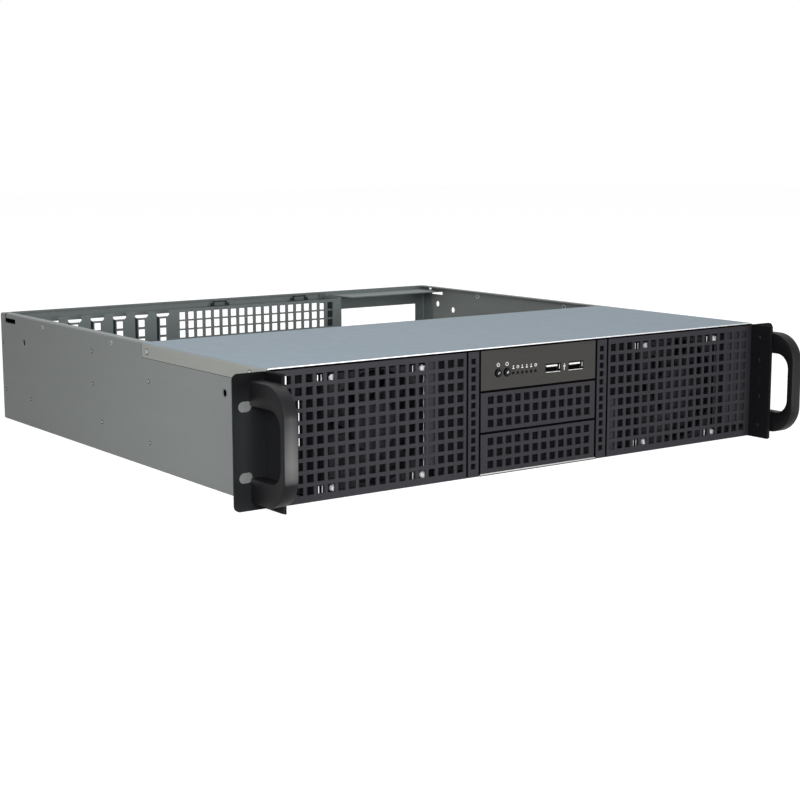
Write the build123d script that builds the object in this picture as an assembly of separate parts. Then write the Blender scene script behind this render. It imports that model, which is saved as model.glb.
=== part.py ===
from build123d import *
import os
from math import sqrt

# A 2U rackmount server case, empty, with its lid off. Millimetres, +Z up.
# It is modelled with the front plane of the ears and meshes at Y 0, the rear at +Y and
# the underside at Z 0. The written parts are moved so that the origin is at the
# middle of the footprint, on the underside.

# Whole case
ear_width = 482.6  # over both ears, the 19-inch front
ear_reach = 23.8  # how far an ear stands out from the side wall
case_height = 88.0  # two rack units less their gap
case_depth = 421.8  # front plane to the rear edge of the side walls
sheet = 1.0  # galvanised steel of the body
front_sheet = 1.2  # black steel of the front panels
bend = 1.6  # outside radius of a fold
seam = 0.4  # gap between neighbouring panels
rest = 0.05  # hairline between pieces that only lie on each other

# Side walls
top_flange = 7.0
joggle_height = 10.4  # depth of the front cover's side flange
joggle_overlap = 3.0
vent_hole_d = 5.5
vent_hole_place = (46.3, 20.7)  # in front of the rear edge, and below the top
second_hole_place = (22.1, 16.6)  # right wall only
front_hole_d = 7.0
front_hole_place = (52.1, 21.5)  # left wall only, behind the front plane
hook_slot = 4.0  # width of the lid's hook slots
hook_run = 20.0
hook_drop = 7.5
hook_back = 10.0

# Front cover
cover_depth = 168.0
cover_rear_fold = 8.0

# Front meshes
panel_height = case_height - sheet
mesh_pitch = 8.0
mesh_hole = 5.4
mesh_end_edge = 7.4  # least room above and below a field of holes
mesh_rows = int((panel_height - 2 * mesh_end_edge) / mesh_pitch) + 1
mesh_seam_edge = 5.8  # first column's middle from the seam beside it
mesh_side_edge = 8.0  # least room from the last column's middle to the side
front_shift = 3.35  # the bays stand this far to the right of the centre
strip_pitch = 6.0
strip_hole = 4.0
strip_rows = int((panel_height - 2 * mesh_end_edge) / strip_pitch) + 1
strip_centre = 58.35
frame_half = 63.75  # middle of the bays to the panel seams
side_flange = 19.85  # how far the folded sides stand out in front

# Centre bays
bay_width = 105.6
bay_gap = 0.7
bay_clearance = 0.1
bay_head = 0.8  # from the top bay to the panels' upper edge
bay_low = sheet + bay_clearance
bay_height = (panel_height - bay_head - bay_low - 2 * bay_gap) / 3
bay_fold = 9.0
bay_columns = 12
bay_rows = 3
bay_hole_shift = 0.9
face_recess = 0.2

# Ears and handles
ear_sheet = 1.5
ear_height = case_height - 2.0
ear_lift = 0.5
ear_corner = 4.0
rack_slot_pitch = 44.45
rack_slot_length = 10.0
rack_slot_width = 6.8
rack_slot_inset = 8.65  # slot centre in from the ear's outer edge
handle_reach = 39.8
handle_height = ear_height - 8.0
handle_width = 9.8
handle_leg = 15.4
handle_grip = 5.2
handle_outer_r = 16.5
handle_inner_r = 11.0
handle_edge = 1.1
handle_inset = 11.8  # handle's outer side in from the ear's outer edge

# Fans
fan_size = 80.0
fan_depth = 25.0
fan_bore = 76.0
fan_corner = 4.5
fan_hub_d = 37.0
fan_blades = 7
fan_clearance = 1.3
fan_flange = 4.0
fan_wall = 1.8
fan_facets = 24  # sides of the fans' large rounds
motor_seat_d = 31.0
motor_seat_depth = 6.0
strut_width = 3.0
strut_depth = 3.0
blade_chord = 26.0  # a blade's width round the hub
blade_camber = 2.0
blade_half = 0.8  # half of a blade's thickness
rotor_step = 2.0  # the hub stands this far behind the housing's face
bracket_face = 5.0  # bracket's plate behind the front plane
bracket_opening = 76.4
bracket_left = 57.2  # fan's middle to the bracket's left side
bracket_right = 46.0
bracket_foot = 10.0
foot_inset = 6.0
fan_shift = 3.2  # the fans stand this far to the right of the meshes' middles
fan_drop = 1.4  # and this far below them
shaft_d = 4.0
shaft_gap = 0.05

# Front controls, measured along X from the middle of the bays
button_d = 5.0
button_gap = 0.25
button_travel = 1.5
button_proud = 1.2
button_collar = 6.0
button_stem = 2.0
stem_length = 3.0
button_x = (-37.0, -29.2)
control_z = panel_height - 17.0
led_x = (-23.6, -19.5, -15.5, -11.6, -7.6, -3.6)
led_d = 2.4
led_drop = 1.2
guide_peg = 1.5
guide_bar = 2.0
usb_x = (12.3, 33.5)
usb_width = 13.2
usb_height = 5.8
usb_shell = 0.4
usb_depth = 16.0
usb_gap = 0.3
tongue_width = 11.2
tongue_sheet = 1.2
tongue_drop = 1.4  # tongue's underside from the shell's inner top
board_gap = 1.2
board_depth = 22.0
board_sheet = 1.6
board_margin = 4.0
board_tab = 8.0
switch_size = 6.0

# Drive cage under the front cover
cage_length = 146.0
cage_gap = 0.4
cage_front = 1.6
cage_foot = 9.0
cage_clear_top = 0.6
drive_slot = (6.0, 3.4)
drive_slot_y = (28.5, 70.1)
drive_screw_z = 6.35  # a drive's side screws above its underside

# Rear panel, whose slot and connector wall is set in from the rear edge
wall_setback = 31.5
wall_end = 99.2  # where the set-in wall turns back to the rear
wall_top = case_height - 4.2
slot_count = 7
slot_pitch = 20.32
slot_first = -206.7
slot_notch_w = 12.4
slot_notch_h = 5.4
slot_notch_z = case_height - 6.4
slot_corner = 1.4
slot_square = 6.0
slot_rows = 4
slot_row_z = case_height - 13.8
vent_columns = 19
vent_pitch_x = 8.45
vent_pitch_z = 7.8
vent_w = 5.7
vent_h = 6.4
vent_top_z = case_height - 9.8
vent_centre = 9.9
dome_columns = (1, 4, 8, 11, 15)
dome_rise = 1.6
io_width = 158.75
io_height = 44.45
io_bottom = 7.2
vent_margin = 8.0  # least room from the connector opening to the vents' middles
vent_rows = int((vent_top_z - io_bottom - io_height - vent_margin) / vent_pitch_z) + 1
psu_open_right = 205.7
psu_open_width = 99.0
psu_open_top = case_height - 17.5
psu_open_bottom = 7.0
post_width = 14.0
shelf_z = case_height - 3.4
shelf_cut = 10.0
rail_height = 10.0
bridge_places = (-13.5, 70.4)
bridge_width = 22.8
bridge_depth = 2.0
bridge_height = 5.4
bridge_margin = 0.5
beyond = 5.0  # how far a cutting block reaches past what it cuts

# Motherboard standoffs, as the ATX hole rows give them
standoff_height = 6.35
standoff_across = 5.0
standoff_rows = (0.0, 154.94, 227.33)
standoff_columns = (0.0, 124.46, 281.94)
board_first = 75.0  # X of the hole nearest the power supply
board_edge = 10.16  # first row's distance from the connector wall

half = ear_width / 2 - ear_reach
wall_y = case_depth - wall_setback
mid_z = panel_height / 2
ear_mid = ear_lift + ear_height / 2
sides = {"left": -1, "right": 1}
seam_x = {name: front_shift + side * frame_half for name, side in sides.items()}
mesh_columns = {
    name: int((half - abs(x) - mesh_seam_edge - mesh_side_edge) / mesh_pitch) + 1
    for name, x in seam_x.items()
}
mesh_x = {
    name: seam_x[name] + side * (mesh_seam_edge + (mesh_columns[name] - 1) * mesh_pitch / 2)
    for name, side in sides.items()
}
fan_x = {name: x + fan_shift for name, x in mesh_x.items()}
top_z = case_height - sheet
fan_z = mid_z - fan_drop
fan_front = bracket_face + sheet
usb_z = control_z - led_drop / 2
board_z = usb_z - usb_height / 2 - board_sheet


def along_y(face, y0, y1):
    """Extrudes a face drawn in X and Z from y0 back to y1."""
    return Pos(0, y0, 0) * extrude(Plane.XZ * face, amount=y0 - y1)


def along_x(face, x0, x1):
    """Extrudes a face drawn in Y and Z from x0 to x1."""
    return Pos(x0, 0, 0) * extrude(Plane.YZ * face, amount=x1 - x0)


def along_z(face, z0, z1):
    """Extrudes a face drawn in X and Y from z0 up to z1."""
    return Pos(0, 0, z0) * extrude(face, amount=z1 - z0)


def folded(points, thickness):
    """Section of a folded sheet: a line through the points with rounded folds, made
    thick to the left of its run."""
    line = FilletPolyline(*points, radius=bend)
    return make_face(offset(line, amount=thickness, side=Side.LEFT))


def creased(points, thickness):
    """The same with sharp folds, for the pieces inside the case."""
    line = Polyline(*points)
    return make_face(offset(line, amount=thickness, side=Side.LEFT, kind=Kind.INTERSECTION))


def block(x0, x1, y0, y1, z0, z1):
    return Pos((x0 + x1) / 2, (y0 + y1) / 2, (z0 + z1) / 2) * Box(x1 - x0, y1 - y0, z1 - z0)


def rod_x(d, x0, x1, y, z):
    return Pos((x0 + x1) / 2, y, z) * Rot(0, 90, 0) * Cylinder(d / 2, abs(x1 - x0))


def rod_y(d, y0, y1, x, z):
    return Pos(x, (y0 + y1) / 2, z) * Rot(90, 0, 0) * Cylinder(d / 2, abs(y1 - y0))


def grid(x, z, pitch_x, pitch_z, columns, rows, width, height):
    """A field of equal rectangular holes about x and z."""
    places = Pos(x, z) * GridLocations(pitch_x, pitch_z, columns, rows)
    return Sketch() + [place * Rectangle(width, height) for place in places]


# Body tray: floor and side walls folded from one sheet
def hook_slots(side):
    """L-shaped slot for the lid's hook at the rear of a side wall."""
    y = case_depth - hook_back
    z = case_height - hook_drop
    x0, x1 = sorted((side * (half - 2 * sheet), side * (half + sheet)))
    entry = block(x0, x1, y - hook_slot / 2, y + hook_slot / 2, z, case_height + sheet)
    run = block(x0, x1, y - hook_run, y + hook_slot / 2, z, z + hook_slot)
    return entry + run


def side_wall_holes(name):
    side = sides[name]
    x0, x1 = sorted((side * (half - 2 * sheet), side * (half + sheet)))
    back, drop = vent_hole_place
    places = [(vent_hole_d, case_depth - back, case_height - drop)]
    if name == "left":
        y, drop = front_hole_place
        places.append((front_hole_d, y, case_height - drop))
    else:
        back, drop = second_hole_place
        places.append((vent_hole_d, case_depth - back, case_height - drop))
    return [rod_x(d, x0, x1, y, z) for d, y, z in places]


def base_tray():
    """Floor and side walls. In front the walls step in for the cover's flanges."""
    low_front = front_sheet
    section = folded(
        [
            (-half + top_flange, case_height),
            (-half, case_height),
            (-half, 0),
            (half, 0),
            (half, case_height),
            (half - top_flange, case_height),
        ],
        sheet,
    )
    tray = along_y(section, low_front, case_depth)
    under = case_height - joggle_height
    tray -= block(-half - 1, half + 1, 0, cover_depth + rest, under, case_height + 1)
    inner = half - sheet
    for side in (-1, 1):
        points = [
            (side * (inner - top_flange), top_z),
            (side * inner, top_z),
            (side * inner, under - joggle_overlap),
        ]
        if side > 0:
            points.reverse()
        tray += along_y(folded(points, sheet), low_front, cover_depth)
        tray -= hook_slots(side)
    for name in sides:
        tray -= side_wall_holes(name)
    lip = block(
        front_shift - bay_width / 2, front_shift + bay_width / 2, -face_recess, low_front, 0, sheet
    )
    return tray + lip


def standoff_places():
    """The board's hole places, as many as there is room for behind the cage."""
    y0 = wall_y - board_edge
    least_y = cage_front + cage_length + standoff_across
    least_x = standoff_across - half
    rows = [y0 - row for row in standoff_rows if y0 - row > least_y]
    columns = [board_first - column for column in standoff_columns]
    return [(x, y) for x in columns if x > least_x for y in rows]


def board_standoffs():
    posts = []
    for x, y in standoff_places():
        hexagon = RegularPolygon(standoff_across / 2, 6, major_radius=False)
        posts.append(along_z(Pos(x, y) * hexagon, sheet, sheet + standoff_height))
    return posts


# Front cover over the fans and drives
def front_cover():
    """Cover folded down at both sides and at the rear."""
    under = case_height - joggle_height
    section = folded(
        [(half, under), (half, case_height), (-half, case_height), (-half, under)], sheet
    )
    cover = along_y(section, 0, cover_depth)
    cover -= block(-half - 1, half + 1, -1, front_sheet + rest, under - 1, top_z)
    inner = half - 2 * sheet - top_flange - 1
    cover += block(
        -inner, inner, cover_depth - sheet, cover_depth, top_z - cover_rear_fold, top_z
    )
    return cover


# Front panels
def mesh_panel(name):
    """Black perforated front panel with its side folded out in front."""
    side = sides[name]
    edge = seam_x[name] + side * seam / 2
    points = [
        (side * half, -side_flange),
        (side * half, front_sheet),
        (edge, front_sheet),
    ]
    if side < 0:
        points.reverse()
    panel = along_z(folded(points, front_sheet), rest, panel_height - rest)
    holes = grid(
        mesh_x[name],
        mid_z,
        mesh_pitch,
        mesh_pitch,
        mesh_columns[name],
        mesh_rows,
        mesh_hole,
        mesh_hole,
    )
    return panel - along_y(holes, -1, front_sheet + 1)


def centre_frame():
    """Black frame between the meshes, open for the bays down to the floor's lip."""
    outer = Pos(front_shift, mid_z) * Rectangle(2 * frame_half - seam, panel_height - 2 * rest)
    bay_top = bay_centre_z(0) + bay_height / 2 + bay_clearance
    opening = Pos(front_shift, bay_top / 2 - 1) * Rectangle(bay_width, bay_top + 2)
    face = outer - opening
    for side in (-1, 1):
        face -= grid(
            front_shift + side * strip_centre,
            mid_z,
            strip_pitch,
            strip_pitch,
            1,
            strip_rows,
            strip_hole,
            strip_hole,
        )
    return along_y(face, 0, front_sheet)


# Bay modules in the centre
def bay_centre_z(level):
    """Height of a bay's middle: level 0 is the control panel, 1 and 2 are below it."""
    return bay_low + bay_height / 2 + (2 - level) * (bay_height + bay_gap)


def bay_shell(level):
    """Shallow folded pan that fills one bay."""
    z = bay_centre_z(level)
    width = bay_width - 2 * seam
    outer = Pos(front_shift, z) * Rectangle(width, bay_height)
    inner = Pos(front_shift, z) * Rectangle(width - 2 * front_sheet, bay_height - 2 * front_sheet)
    shell = along_y(outer, face_recess, bay_fold)
    return shell - along_y(inner, face_recess + front_sheet, bay_fold + 1)


def bay_cover(level):
    holes = grid(
        front_shift + bay_hole_shift,
        bay_centre_z(level),
        mesh_pitch,
        mesh_pitch,
        bay_columns,
        bay_rows,
        mesh_hole,
        mesh_hole,
    )
    return bay_shell(level) - along_y(holes, -1, face_recess + front_sheet + 1)


def control_faceplate():
    """Top bay's plate with holes for the buttons, lamps and two sockets."""
    plate = bay_shell(0)
    back = face_recess + front_sheet + 1
    for x in button_x:
        plate -= rod_y(button_d + 2 * button_gap, -1, back, front_shift + x, control_z)
    for x in led_x:
        lamp = Pos(front_shift + x, control_z - led_drop) * RegularPolygon(led_d / 2, 8)
        plate -= along_y(lamp, -1, back)
    for x in usb_x:
        width = usb_width + 2 * usb_gap
        height = usb_height + 2 * usb_gap
        window = Pos(front_shift + x, usb_z) * Rectangle(width, height)
        plate -= along_y(window, -1, back)
    inside = face_recess + front_sheet
    reach = bay_width / 2 - board_margin
    for side in (-1, 1):
        x0, x1 = sorted((front_shift + side * (reach - board_tab), front_shift + side * reach))
        plate += block(x0, x1, inside - rest, inside + board_tab, board_z - rest - sheet, board_z - rest)
    return plate


def button(index):
    """Round cap with a square collar behind the plate that stops it from falling out."""
    x = front_shift + button_x[index]
    inside = face_recess + front_sheet
    cap = rod_y(button_d, face_recess - button_proud, inside + rest, x, control_z)
    collar = Pos(x, control_z) * Rectangle(button_collar, button_collar)
    stem = Pos(x, control_z) * Rectangle(button_stem, button_stem)
    cap += along_y(collar, inside + rest, inside + 1)
    return cap + along_y(stem, inside + 1, inside + stem_length)


def button_switches():
    """Two small push switches on the control board, with room for the stems' travel."""
    front = face_recess + front_sheet + stem_length
    switches = []
    for x in button_x:
        place = Pos(front_shift + x, control_z)
        well = button_stem + 2 * button_gap
        high = control_z + switch_size / 2
        width = switch_size / 2
        body = block(
            front_shift + x - width, front_shift + x + width, front, front + switch_size,
            board_z + board_sheet, high,
        )
        body -= along_y(place * Rectangle(well, well), front - 1, front + button_travel + button_gap)
        switches.append(body)
    return switches


def control_board():
    reach = bay_width / 2 - board_margin
    y0 = face_recess + front_sheet + board_gap
    return block(
        front_shift - reach, front_shift + reach, y0, y0 + board_depth, board_z, board_z + board_sheet
    )


def light_guide():
    """Clear bar behind the plate with a peg for each of the six lamp holes."""
    inside = face_recess + front_sheet
    z = control_z - led_drop
    first = front_shift + led_x[0] - guide_bar
    last = front_shift + led_x[-1] + guide_bar
    guide = block(
        first, last, inside + rest, inside + guide_bar, board_z + board_sheet, z + guide_bar / 2
    )
    for x in led_x:
        peg = Pos(front_shift + x, z) * Rectangle(guide_peg, guide_peg)
        guide += along_y(peg, face_recess + rest, inside + guide_bar)
    return guide


def usb_port(index):
    """Metal socket with its tongue."""
    x = front_shift + usb_x[index]
    outer = Pos(x, usb_z) * Rectangle(usb_width, usb_height)
    inner = Pos(x, usb_z) * Rectangle(usb_width - 2 * usb_shell, usb_height - 2 * usb_shell)
    shell = along_y(outer, 0, usb_depth)
    return shell - along_y(inner, -1, usb_depth - 1)


def usb_tongues():
    tongues = []
    for x in usb_x:
        z = usb_z + usb_height / 2 - usb_shell - tongue_drop
        x0 = front_shift + x - tongue_width / 2
        tongues.append(
            block(x0, x0 + tongue_width, usb_shell, usb_depth - 1, z, z + tongue_sheet)
        )
    return tongues


# Ears and handles
def ear_bracket(name):
    """Ear folded forward along the side of the front panel, with two slots."""
    side = sides[name]
    points = [
        (side * half, -side_flange),
        (side * half, ear_sheet),
        (side * ear_width / 2, ear_sheet),
    ]
    if side > 0:
        points.reverse()
    bracket = along_z(folded(points, ear_sheet), ear_lift, ear_lift + ear_height)
    outer = bracket.edges().filter_by(Axis.Y).group_by(SortBy.LENGTH)[0]
    outer = outer.filter_by(lambda e: abs(e.center().X) > ear_width / 2 - 0.01)
    bracket = fillet(outer, ear_corner)
    slot_x = side * (ear_width / 2 - rack_slot_inset)
    slots = Pos(slot_x, ear_mid) * GridLocations(0, rack_slot_pitch, 1, 2)
    for place in slots:
        bracket -= along_y(place * SlotOverall(rack_slot_length, rack_slot_width), -1, ear_sheet + 1)
    return bracket


def handle_x(side):
    return side * (ear_width / 2 - handle_inset - handle_width / 2)


def handle(name):
    """Bow handle: a flat bar bent round in front, with bevelled edges."""
    side = sides[name]
    outer = Pos(-handle_reach / 2, ear_mid) * Rectangle(handle_reach, handle_height)
    outer = fillet(outer.vertices().group_by(Axis.X)[0], handle_outer_r)
    inner_h = handle_height - 2 * handle_leg
    inner_w = handle_reach - handle_grip
    inner = Pos(-inner_w / 2, ear_mid) * Rectangle(inner_w, inner_h)
    inner = fillet(inner.vertices().group_by(Axis.X)[0], handle_inner_r)
    x = handle_x(side)
    bow = along_x(outer, x - handle_width / 2, x + handle_width / 2)
    rims = bow.edges().filter_by(lambda e: abs(e.center().X - x) > handle_width / 2 - 0.01)
    bow = chamfer(rims.filter_by(lambda e: e.center().Y < -0.01), handle_edge)
    return bow - along_x(inner, x - handle_width, x + handle_width)


# Fans
def fan_bracket(name):
    """Galvanised plate with a square opening, folded forward to the panel at its sides
    and back along the floor."""
    x = fan_x[name]
    left = x - bracket_left
    right = x + bracket_right
    y0 = front_sheet + rest
    plan = creased([(right, y0), (right, fan_front), (left, fan_front), (left, y0)], sheet)
    plate = along_z(plan, sheet + rest, panel_height - 2 * sheet)
    plate -= along_y(Pos(x, fan_z) * Rectangle(bracket_opening, bracket_opening), 0, fan_front + 1)
    plate += block(
        left + foot_inset, right - foot_inset, fan_front - sheet, fan_front + fan_depth + bracket_foot,
        sheet + rest, 2 * sheet + rest,
    )
    return plate


def fan_frame(name):
    """Square fan housing with a round duct, and the motor's seat on four struts."""
    y0 = fan_front
    y1 = y0 + fan_depth
    place = Pos(fan_x[name], fan_z)
    bore = RegularPolygon(fan_bore / 2, fan_facets)
    corners = Rectangle(fan_size, fan_size)
    corners = chamfer(corners.vertices(), fan_corner)
    duct = RegularPolygon(fan_bore / 2 + fan_wall, fan_facets)
    housing = along_y(place * (duct - bore), y0, y1)
    housing += along_y(place * (corners - bore), y0, y0 + fan_flange)
    housing += along_y(place * (corners - bore), y1 - fan_flange, y1)
    seat = RegularPolygon(motor_seat_d / 2, fan_facets) - Circle(shaft_d / 2)
    reach = fan_bore / 2 + fan_wall / 2
    strut = Pos(reach / 2, 0) * Rectangle(reach, strut_width)
    struts = [Rot(0, 0, turn) * strut for turn in (45, 135, 225, 315)]
    spider = Sketch() + struts - Rectangle(motor_seat_d / 2, motor_seat_d / 2)
    housing += along_y(place * spider, y1 - strut_depth, y1)
    return housing + along_y(place * seat, y1 - motor_seat_depth, y1)


def blade(y0, depth):
    """One fan blade: a cambered strip that leans across the air's way, hub to tip."""
    reach = blade_chord / 2
    tip = fan_bore / 2 - fan_clearance
    middle = y0 + depth / 2 - blade_camber
    section = Polyline(
        (-reach - blade_half, y0),
        (-reach + blade_half, y0),
        (blade_half, middle),
        (reach + blade_half, y0 + depth),
        (reach - blade_half, y0 + depth),
        (-blade_half, middle + blade_half),
        close=True,
    )
    top = sqrt(tip**2 - (reach + blade_half) ** 2)
    return along_z(make_face(section), sqrt((fan_hub_d / 2) ** 2 - reach**2) - 2 * blade_half, top)


def fan_rotor(name):
    """Hub cup with its blades and the shaft that turns in the motor's seat."""
    y0 = fan_front + rotor_step
    y1 = fan_front + fan_depth - motor_seat_depth - fan_clearance
    hub = along_y(RegularPolygon(fan_hub_d / 2, fan_facets), y0, y1)
    hub = chamfer(hub.faces().sort_by(Axis.Y)[0].edges(), fan_clearance)
    depth = y1 - y0 - 2 * rotor_step
    blades = [
        Rot(0, 360 / fan_blades * i, 0) * blade(y0 + rotor_step, depth) for i in range(fan_blades)
    ]
    shaft = rod_y(shaft_d - 2 * shaft_gap, y1 - 1, fan_front + fan_depth - 1, 0, 0)
    return Pos(fan_x[name], 0, fan_z) * (hub + blades + shaft)


# Drive cage
def drive_cage():
    """Inverted channel on two feet, open in front and behind."""
    inner = bay_width / 2 - seam + cage_gap
    outer = inner + sheet
    low = sheet + rest
    high = top_z - cage_clear_top
    x = front_shift
    section = creased(
        [
            (x + outer + cage_foot, low + sheet),
            (x + outer, low + sheet),
            (x + outer, high),
            (x - outer, high),
            (x - outer, low + sheet),
            (x - outer - cage_foot, low + sheet),
        ],
        sheet,
    )
    cage = along_y(section, cage_front, cage_front + cage_length)
    cage -= block(x - outer, x + outer, 0, bay_fold + rest, high - 2 * bend, high + 1)
    for level in (1, 2):
        z = bay_centre_z(level) - bay_height / 2 + front_sheet + drive_screw_z
        for y in drive_slot_y:
            slot = Pos(cage_front + y, z) * Rectangle(*drive_slot)
            cage -= along_x(slot, x - outer - 1, x + outer + 1)
    return cage


# Rear panel
def slot_openings():
    """Punched openings of the expansion slots: a notch over a row of squares each."""
    openings = []
    middle = slot_row_z - (slot_rows - 1) * mesh_pitch / 2
    for index in range(slot_count):
        x = slot_first + index * slot_pitch
        notch = Rectangle(slot_notch_w, slot_notch_h)
        notch = chamfer(notch.vertices(), slot_corner)
        openings.append(Pos(x, slot_notch_z) * notch)
        openings.append(grid(x, middle, 1, mesh_pitch, 1, slot_rows, slot_square, slot_square))
    return openings


def vent_openings():
    """Vent field over the connector opening; some top holes have a domed top."""
    middle = vent_top_z - (vent_rows - 1) * vent_pitch_z / 2
    openings = [
        grid(vent_centre, middle, vent_pitch_x, vent_pitch_z, vent_columns, vent_rows, vent_w, vent_h)
    ]
    first = vent_centre - (vent_columns - 1) * vent_pitch_x / 2
    for column in dome_columns:
        x = first + column * vent_pitch_x
        low = vent_top_z + vent_h / 2 - rest
        shape = Polyline(
            (x - vent_w / 2, low),
            (x + vent_w / 2, low),
            (x + vent_w / 4, low + dome_rise),
            (x - vent_w / 4, low + dome_rise),
            close=True,
        )
        openings.append(make_face(shape))
    return openings


def rear_panel():
    """Rear sheet in plan: along the left wall, across behind the board, back to the
    rear edge, across behind the power supply and forward along the right wall."""
    inner = half - sheet - rest
    plan = folded(
        [
            (-inner, case_depth - sheet - rest),
            (-inner, wall_y),
            (wall_end, wall_y),
            (wall_end, case_depth - sheet),
            (inner - sheet, case_depth - sheet),
            (inner - sheet, case_depth - post_width),
        ],
        sheet,
    )
    panel = along_z(plan, bend, shelf_z)
    panel -= block(
        -half, wall_end - 2 * bend, wall_y - beyond, case_depth + beyond, wall_top, case_height
    )
    cut_y = (wall_y - 3, wall_y + 3)
    for opening in slot_openings() + vent_openings():
        panel -= along_y(opening, *cut_y)
    io = Pos(vent_centre, io_bottom + io_height / 2) * Rectangle(io_width, io_height)
    panel -= along_y(io, *cut_y)
    psu_x = psu_open_right - psu_open_width / 2
    psu_z = (psu_open_top + psu_open_bottom) / 2
    psu = Pos(psu_x, psu_z) * Rectangle(psu_open_width, psu_open_top - psu_open_bottom)
    panel -= along_y(psu, case_depth - 3, case_depth + 3)
    shelf = Polyline(
        (wall_end + shelf_cut / 2, case_depth),
        (wall_end + shelf_cut, wall_y),
        (inner - rest, wall_y),
        (inner - rest, case_depth),
        close=True,
    )
    panel += along_z(make_face(shelf), shelf_z - sheet, shelf_z)
    return panel


def rear_rail():
    """Strip across the top of the rear, with two formed bridges for the lid."""
    inner = half - bend - rest
    low = case_height - rail_height
    bridge_low = case_height - bridge_margin - bridge_height
    front = case_depth - sheet
    rail = block(-inner, inner, front, case_depth, shelf_z + rest, top_z - rest)
    rail += block(-inner, wall_end - 2, front, case_depth, low, top_z - rest)
    between = half - top_flange - rest
    rail += block(-between, between, front, case_depth, top_z - rest, case_height)
    for x in bridge_places:
        shape = Polyline(
            (x - bridge_width / 2, bridge_low),
            (x + bridge_width / 2, bridge_low),
            (x + bridge_width / 4, case_height - bridge_margin),
            (x - bridge_width / 4, case_height - bridge_margin),
            close=True,
        )
        rail += along_y(make_face(shape), front - bridge_depth, front)
    return rail


def save(node, shape):
    """Writes one node, moved so that the origin is under the middle of the case."""
    move = Pos(0, (handle_reach - case_depth) / 2, 0)
    if isinstance(shape, (list, tuple)):
        shape = Compound(children=[piece.solid() for piece in shape])
    export_step(move * shape, f"parts/{node}.step")


os.makedirs("parts", exist_ok=True)
save("base_tray", base_tray())
save("board_standoffs", board_standoffs())
save("front_cover", front_cover())
save("centre_frame", centre_frame())
save("control_faceplate", control_faceplate())
save("upper_bay_cover", bay_cover(1))
save("lower_bay_cover", bay_cover(2))
save("power_button", button(0))
save("reset_button", button(1))
save("button_switches", button_switches())
save("control_board", control_board())
save("light_guide", light_guide())
save("left_usb_port", usb_port(0))
save("right_usb_port", usb_port(1))
save("usb_tongues", usb_tongues())
save("drive_cage", drive_cage())
save("rear_panel", rear_panel())
save("rear_rail", rear_rail())
for name in sides:
    save(f"{name}_mesh_panel", mesh_panel(name))
    save(f"{name}_ear_bracket", ear_bracket(name))
    save(f"{name}_handle", handle(name))
    save(f"{name}_fan_bracket", fan_bracket(name))
    save(f"{name}_fan_frame", fan_frame(name))
    save(f"{name}_fan_rotor", fan_rotor(name))
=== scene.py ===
import math
import bmesh
import bpy
from mathutils import Matrix, Vector


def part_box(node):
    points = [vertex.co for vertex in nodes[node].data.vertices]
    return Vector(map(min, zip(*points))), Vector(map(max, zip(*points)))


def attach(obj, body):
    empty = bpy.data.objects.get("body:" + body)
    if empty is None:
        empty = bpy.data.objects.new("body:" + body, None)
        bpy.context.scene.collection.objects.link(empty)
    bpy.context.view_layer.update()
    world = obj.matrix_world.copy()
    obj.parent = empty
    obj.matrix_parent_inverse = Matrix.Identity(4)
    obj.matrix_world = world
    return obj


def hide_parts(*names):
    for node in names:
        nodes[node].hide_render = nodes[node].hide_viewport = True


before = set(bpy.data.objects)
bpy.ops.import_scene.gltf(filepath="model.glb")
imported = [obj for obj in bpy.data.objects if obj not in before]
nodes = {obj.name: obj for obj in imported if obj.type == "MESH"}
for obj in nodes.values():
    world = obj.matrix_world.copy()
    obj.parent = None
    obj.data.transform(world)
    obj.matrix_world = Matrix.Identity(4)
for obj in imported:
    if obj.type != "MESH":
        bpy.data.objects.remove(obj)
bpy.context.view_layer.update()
mm = 0.001
sides = {"left": -1, "right": 1}

# The photograph's view: a long lens in front of the left ear, a little above the case.
# Its place is in metres in the frame's own axes.
view_point = Vector((-0.725278, -1.036911, 0.224033))
view_turn = math.radians(35.752)
view_down = math.radians(8.99)
view_roll = math.radians(-0.112)
level = math.cos(view_down)
ahead = Vector((math.sin(view_turn) * level, math.cos(view_turn) * level, -math.sin(view_down)))
right = Vector((math.cos(view_turn), -math.sin(view_turn), 0))
up = right.cross(ahead)
tilt = Matrix((right, up, -ahead)).transposed() @ Matrix.Rotation(view_roll, 3, "Z")
camera_data = bpy.data.cameras.new("camera")
camera_data.sensor_fit = "HORIZONTAL"
camera_data.sensor_width = 36
camera_data.lens = 72.74
camera_data.clip_start = 0.05
camera = bpy.data.objects.new("camera", camera_data)
camera.matrix_world = Matrix.Translation(view_point) @ tilt.to_4x4()
bpy.context.scene.collection.objects.link(camera)
bpy.context.scene.camera = camera
bpy.context.scene.view_settings.view_transform = "Standard"


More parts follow.
